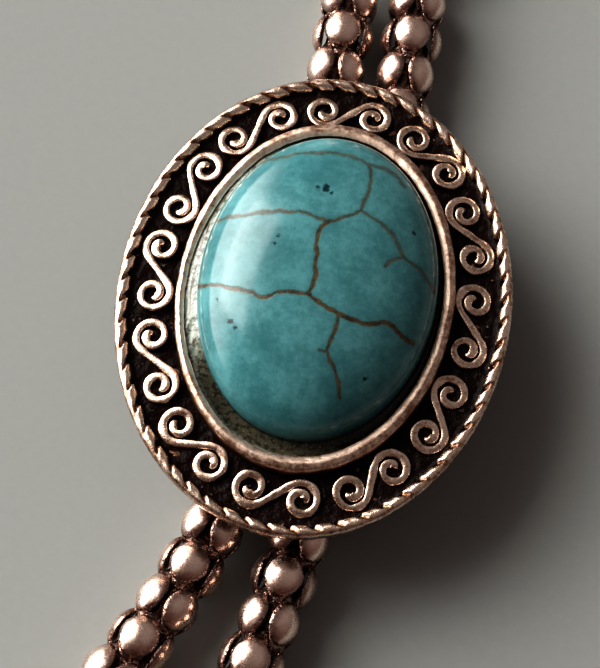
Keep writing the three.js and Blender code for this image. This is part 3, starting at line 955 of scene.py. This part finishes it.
def rope():
    """The slide's edge: strands that swell inwards as they run clockwise, and each end at a notch."""
    count = ROPE_STRANDS * ROPE_STEPS
    angles = even_angles(count, ROPE_LINE)[:, None]
    turn = (np.arange(ROPE_SIDES) / ROPE_SIDES * 2 * math.pi)[None, :]
    inward, upward = -np.cos(turn), np.sin(turn)
    middle = oval(angles[:, 0], ROPE_LINE, ROPE_Z)
    uneven = rough(middle, ROPE_UNEVEN)[:, None]
    along = (np.arange(count)[:, None] / ROPE_STEPS + uneven - ROPE_TWIST * inward) % 1
    swell = smoothstep(along, *ROPE_SWELLS) * (1 - smoothstep(along, *ROPE_ENDS))
    deep = ROPE_NOTCH * (1 + rough(middle, ROPE_NOTCH_CHANGE)[:, None])
    radius = ROPE_RADIUS - deep * (1 - swell) * smoothstep(inward, *ROPE_NOTCHED)
    radius = radius + rough(oval(angles, ROPE_LINE - inward, ROPE_Z + upward), ROPE_DENTS)
    inside = ROPE_NOTCH_RELIEF + ROPE_SWELL_RELIEF * swell
    bare = ROPE_OUTSIDE_RELIEF + (inside - ROPE_OUTSIDE_RELIEF) * smoothstep(inward, *ROPE_SHADED)
    bare = bare * smoothstep(upward, *ROPE_BARE_TOP)
    return hoop(oval(angles, ROPE_LINE - inward * radius, ROPE_Z + upward * radius), bare)


def plate():
    """The oval plate, with its edge softly rounded."""
    angles = even_angles(PLATE_SIDES, PLATE_EDGE)
    columns = np.array([list(row.values()) for row in PLATE_SECTION]).T
    inwards, heights, bare = columns[..., None]
    rings = oval(angles[None, :], PLATE_EDGE - inwards, heights)
    return shell(rings, [0, 0, heights[0, 0]], [0, 0, heights[-1, 0]], bare)


def channel():
    """The black floor of the channel and the seat's ledge, with an uneven skin."""
    angles = even_angles(CHANNEL_SIDES, CHANNEL_MIDDLE)[:, None]
    offsets = np.linspace(CHANNEL_INNER, CHANNEL_OUTER, CHANNEL_RINGS)[None, :]
    skin = rough(oval(angles, offsets, CHANNEL_FLOOR_Z), CHANNEL_DENTS)
    rise = CHANNEL_RISE * smoothstep(offsets, CHANNEL_OUTER - CHANNEL_RISE_WIDTH, CHANNEL_OUTER)
    top = oval(angles, offsets, CHANNEL_FLOOR_Z + skin + rise)
    foot = oval(angles, offsets[:, [-1, 0]], PLATE_TOP_Z - 2 * SUNK)
    return hoop(np.concatenate([top, foot], 1), CHANNEL_RELIEF)


def half_scroll(spacing):
    """One spiral of a scroll, from the middle of the diagonal to the eye: along the border, and out."""
    share = np.linspace(0, 1, SCROLL_SPIRAL_POINTS)
    angle = SCROLL_JOIN - SCROLL_SWEEP * share
    radius = SCROLL_OUTER_RADIUS + (SCROLL_INNER_RADIUS - SCROLL_OUTER_RADIUS) * share**SCROLL_TIGHTENING
    return np.stack([spacing / 2 + radius * np.cos(angle), radius * np.sin(angle)], -1)


def scroll(eyes, seed):
    """A raised S in the channel, with a rounded eye at each end."""
    first, second = (seen_at(eye, PLATE_TOP_Z + SCROLL_HEIGHT) for eye in eyes)
    onwards = unit(second - first)
    outwards = np.cross(UP, onwards)
    half = half_scroll(np.linalg.norm(second - first))
    flat = curve_through([*-half[::-1], (0.0, 0.0), *half], SCROLL_STEPS)
    middle = (first + second) / 2 - UP * SCROLL_HEIGHT
    path = Path(middle + flat[:, :1] * onwards + flat[:, 1:] * outwards)
    distances = np.linspace(0, path.length, SCROLL_RINGS)
    centres, alongs = path.at(distances), path.direction(distances)
    across = np.cross(UP, alongs)
    from_tip = np.minimum(distances, path.length - distances)
    swell = 1 - smoothstep(from_tip, SCROLL_EYE_FULL * SCROLL_EYE_LENGTH, SCROLL_EYE_LENGTH)
    half_width = SCROLL_HALF_WIDTH + (SCROLL_EYE_HALF_WIDTH - SCROLL_HALF_WIDTH) * swell
    half_width = half_width * (1 + SCROLL_WIDTH_CHANGE * wobble(centres, SCROLL_WIDTH_WAVE, seed))
    to_round = np.clip(from_tip / SCROLL_EYE_HALF_WIDTH, SCROLL_TIP, 1)
    rounding = np.sqrt(1 - (1 - to_round) ** 2)
    share, height = np.array(SCROLL_SECTION).T
    uneven = SCROLL_HEIGHT_CHANGE * wobble(centres, SCROLL_HEIGHT_WAVE, seed + SCROLL_HEIGHT_SEED)
    lift = height * (1 + uneven[:, None]) * np.sqrt(rounding)[:, None]
    aside = across[:, None] * (share * (half_width * rounding)[:, None])[..., None]
    fall = SCROLL_TILT * ((centres - middle) @ outwards)[:, None] + SCROLL_LEAN * (aside @ outwards)
    lift = lift - fall * (height > 0)
    rings = centres[:, None] + aside + UP * lift[..., None]
    edge = smoothstep(np.abs(share), *SCROLL_EDGE)
    bare = smoothstep(height, *SCROLL_BARE) * (SCROLL_TOP_RELIEF + SCROLL_EDGE_RELIEF * edge)
    relief = np.broadcast_to(bare, rings.shape[:2])
    return shell(rings, rings[0].mean(0), rings[-1].mean(0), relief)


def scrolls():
    return joined([scroll(eyes, SCROLL_FIRST_SEED + k) for k, eyes in enumerate(SCROLL_EYES)])


def back_strap():
    """The flat strap that both strands pass through, bent down and up again."""
    half = STRAP_THICKNESS / 2
    reach = STRAP_HALF_SPAN - half
    bend = np.linspace(0, math.pi / 2, STRAP_BEND_POINTS)
    left = [(-reach, PLATE_BACK_Z + SUNK)]
    left += [(-reach + STRAP_BEND * (1 - math.cos(a)), half + STRAP_BEND * (1 - math.sin(a))) for a in bend]
    line = [*left, *[(-x, z) for x, z in reversed(left)]]
    points = np.array([(x, 0.0, z) for x, z in line])
    sideways = np.array([0.0, 1.0, 0.0])
    normals = np.cross(unit(np.gradient(points, axis=0)), sideways)
    wide, narrow = STRAP_HALF_WIDTH, STRAP_HALF_WIDTH - STRAP_EDGE
    section = [
        (-half, -narrow), (-half, narrow), (-half + STRAP_EDGE, wide), (half - STRAP_EDGE, wide),
        (half, narrow), (half, -narrow), (half - STRAP_EDGE, -wide), (-half + STRAP_EDGE, -wide),
    ]
    through, aside = np.array(section).T[..., None]
    rings = points[:, None] + normals[:, None] * through + sideways * aside
    return shell(rings, points[0], points[-1], STRAP_RELIEF)


def add_slide():
    metal = cast_metal("cast_metal", *CAST_ROUGHNESS)
    satin = cast_metal("satin_metal", *SATIN_ROUGHNESS)
    black = black_channel()
    for name, solid, material in (
        ("slide_plate", plate(), metal),
        ("slide_channel", channel(), black),
        ("slide_bezel", bezel(), satin),
        ("slide_rope", rope(), metal),
        ("slide_scrolls", scrolls(), metal),
        ("slide_strap", back_strap(), metal),
    ):
        add_piece(name, solid, material, "setting")


# Stone

def stone_outline(angles, share):
    x = STONE_MIDDLE[0] + STONE_HALF_WIDTH * share * np.sin(angles)
    y = STONE_MIDDLE[1] + STONE_HALF_LENGTH * share * np.cos(angles)
    return x, y


def cabochon():
    """The stone: a high oval dome on an upright girdle."""
    angles = np.arange(STONE_SIDES) / STONE_SIDES * 2 * math.pi
    rises = np.linspace(math.pi / 2, 0, STONE_RINGS + 1)[1:]
    shares = np.cos(rises) ** STONE_FULLNESS
    heights = STONE_GIRDLE + STONE_DOME * np.sin(rises) ** STONE_FULLNESS
    shares = np.concatenate([shares, [1.0, STONE_FOOT_SHARE]])
    heights = np.concatenate([heights, [STONE_FOOT_HEIGHT, 0.0]])
    x, y = stone_outline(angles[None, :], shares[:, None])
    z = np.broadcast_to(STONE_SEAT_Z + heights[:, None], x.shape)
    middle = STONE_MIDDLE * [1, 1, 0]
    apex = middle + UP * (STONE_SEAT_Z + STONE_GIRDLE + STONE_DOME)
    return shell(np.stack([x, y, z], -1), apex, middle + UP * STONE_SEAT_Z, 1 - shares[:, None])


def gap_to_line(places, line):
    """Distance of each place, in pixels, to a line through pixels."""
    nearest = np.full(len(places), np.inf)
    for start, end in zip(line, line[1:]):
        run = end - start
        share = np.clip(((places - start) @ run) / (run @ run), 0, 1)
        nearest = np.minimum(nearest, np.linalg.norm(places - start - share[:, None] * run, axis=1))
    return nearest


def stone_fields(points):
    """For each point of the stone: pixels to the nearest vein, that vein's depth, and pixels to a speck."""
    places = photo_pixels(points)
    for shake in VEIN_SHAKES:
        strays = [wobble(points, shake["size"], seed) for seed in shake["seeds"]]
        places = places + shake["pixels"] * np.stack(strays, -1)
    lines = [curve_through(vein["pixels"], VEIN_STEPS) for vein in VEINS]
    gaps = np.array([gap_to_line(places, line) - vein["width"] for line, vein in zip(lines, VEINS)])
    depths = np.array([vein["depth"] for vein in VEINS])
    specks = [np.linalg.norm(places - pixel, axis=1) - radius for pixel, radius in SPECKS]
    return {"vein_gap": gaps.min(0), "vein_depth": depths[gaps.argmin(0)], "speck_gap": np.min(specks, 0)}


def glue_seam():
    """Glue in the gap between stone and bezel: high on the stone's left and lower left, low on its right."""
    angles = even_angles(GLUE_SIDES, 0.0)[:, None]
    share = np.linspace(0, 1, GLUE_RINGS)[None, :]
    inner = np.stack([*stone_outline(angles, GLUE_START), np.zeros_like(angles)], -1)
    outer = oval(angles, bezel_inner(angles) + GLUE_UNDER_BEZEL, 0.0) + BEZEL_SHIFT
    flat = inner + (outer - inner) * share[..., None]
    drawn_out = flat * GLUE_STRETCH
    full = near(angles, **GLUE_FULL_SIDE)
    level = GLUE_LOW_Z + GLUE_RISE * full
    climb = GLUE_CLIMB * full * (1 - share) ** GLUE_CLIMB_SHARPNESS
    hollow = GLUE_HOLLOW * (1 - full) * (2 * share - 1) ** 2
    ripple = full * rough(drawn_out, GLUE_RIPPLES) + rough(flat, GLUE_DENTS)
    top = flat + UP * (level + climb + hollow + ripple)[..., None]
    foot = flat[:, [-1, 0]] + UP * (PLATE_TOP_Z - SUNK)
    off_crack = np.abs(share - CRACK_SHARE - rough(drawn_out, CRACK_WANDER))
    crack = 1 - smoothstep(off_crack, *CRACK_WIDTH)
    parted = crack * smoothstep(rough(drawn_out, CRACK_BREAKS), *CRACK_OPENS)
    # pale on the side towards the light, partly painted glare; the crack and the strip by the bezel stay
    # black as painted shade
    lit_and_thin = near(angles, **GLUE_THIN_LIT_SIDE) * (1 - parted) * (1 - smoothstep(share, *GLUE_THIN_LIT_ENDS))
    brown = GLUE_BROWN_RELIEF + GLUE_EDGE_RELIEF * smoothstep(share, *GLUE_EDGE)
    relief = np.maximum(lit_and_thin, near(angles, **GLUE_BROWN_SIDE) * brown)
    return hoop(np.concatenate([top, foot], 1), np.concatenate([relief, relief[:, [-1, 0]]], 1))


def add_stone():
    stone = cabochon()
    add_piece("cabochon", stone, turquoise(), "stone", stone_fields(stone.points))
    add_piece("glue_seam", glue_seam(), old_glue())


# Stage

def add_floor():
    corners = [(x * FLOOR_HALF, y * FLOOR_HALF, 0) for x, y in ((-1, -1), (1, -1), (1, 1), (-1, 1))]
    mesh = bpy.data.meshes.new("floor")
    mesh.from_pydata(corners, [], [(0, 1, 2, 3)])
    mesh.materials.append(pale_floor())
    floor = bpy.data.objects.new("floor", mesh)
    floor.location.z = FLOOR_Z
    bpy.context.scene.collection.objects.link(floor)


def add_window():
    data = bpy.data.lights.new("window", "AREA")
    data.shape = "RECTANGLE"
    data.size, data.size_y = WINDOW["size"]
    data.energy = WINDOW["watts"]
    data.color = WINDOW["colour"]
    window = bpy.data.objects.new("window", data)
    window.location = WINDOW["place"]
    inwards = -Vector(WINDOW["place"])
    window.rotation_euler = inwards.to_track_quat("-Z", "Y").to_euler()
    window.visible_camera = False
    bpy.context.scene.collection.objects.link(window)


def add_room():
    """The room's own dim light, with its glows added to it."""
    world = bpy.data.worlds.new("room")
    world.use_nodes = True
    nodes, links = world.node_tree.nodes, world.node_tree.links
    place = nodes.new("ShaderNodeTexCoord").outputs["Generated"]
    background = nodes["Background"].inputs["Color"]
    background.default_value = (*ROOM_COLOUR, 1.0)
    colour = None
    for glow in ROOM_GLOWS:
        nearness = nodes.new("ShaderNodeVectorMath")
        nearness.operation = "DOT_PRODUCT"
        nearness.inputs[1].default_value = unit(np.array(glow["towards"]))
        rise = nodes.new("ShaderNodeMapRange")
        rise.interpolation_type = "SMOOTHSTEP"
        rise.inputs["From Min"].default_value = glow["from"]
        rise.inputs["From Max"].default_value = glow["to"]
        added = nodes.new("ShaderNodeMix")
        added.data_type = "RGBA"
        added.blend_type = "ADD"
        added.inputs[MIX_FIRST].default_value = (*ROOM_COLOUR, 1.0)
        added.inputs[MIX_SECOND].default_value = (*glow["colour"], 1.0)
        links.new(place, nearness.inputs[0])
        links.new(nearness.outputs["Value"], rise.inputs["Value"])
        links.new(rise.outputs["Result"], added.inputs[MIX_SHARE])
        if colour:
            links.new(colour, added.inputs[MIX_FIRST])
        colour = added.outputs[MIX_RESULT]
    links.new(colour, background)
    bpy.context.scene.world = world


def add_lights():
    add_window()
    add_room()
    bpy.context.scene.view_settings.view_transform = "Standard"
    bpy.context.scene.view_settings.look = "High Contrast"


def add_camera():
    data = bpy.data.cameras.new("photo_camera")
    data.sensor_fit = "VERTICAL"
    data.sensor_height = SENSOR_HEIGHT
    data.lens = FOCAL_PIXELS / PHOTO_HEIGHT * SENSOR_HEIGHT
    data.clip_start = CAMERA_NEAR
    camera = bpy.data.objects.new("photo_camera", data)
    camera.location = CAMERA_PLACE * MM
    look = Vector(CAMERA_TARGET - CAMERA_PLACE)
    camera.rotation_euler = look.to_track_quat("-Z", "Y").to_euler()
    bpy.context.scene.collection.objects.link(camera)
    bpy.context.scene.camera = camera


add_camera()
add_lights()
add_floor()
add_stone()
add_slide()
add_chain(chain_metal())
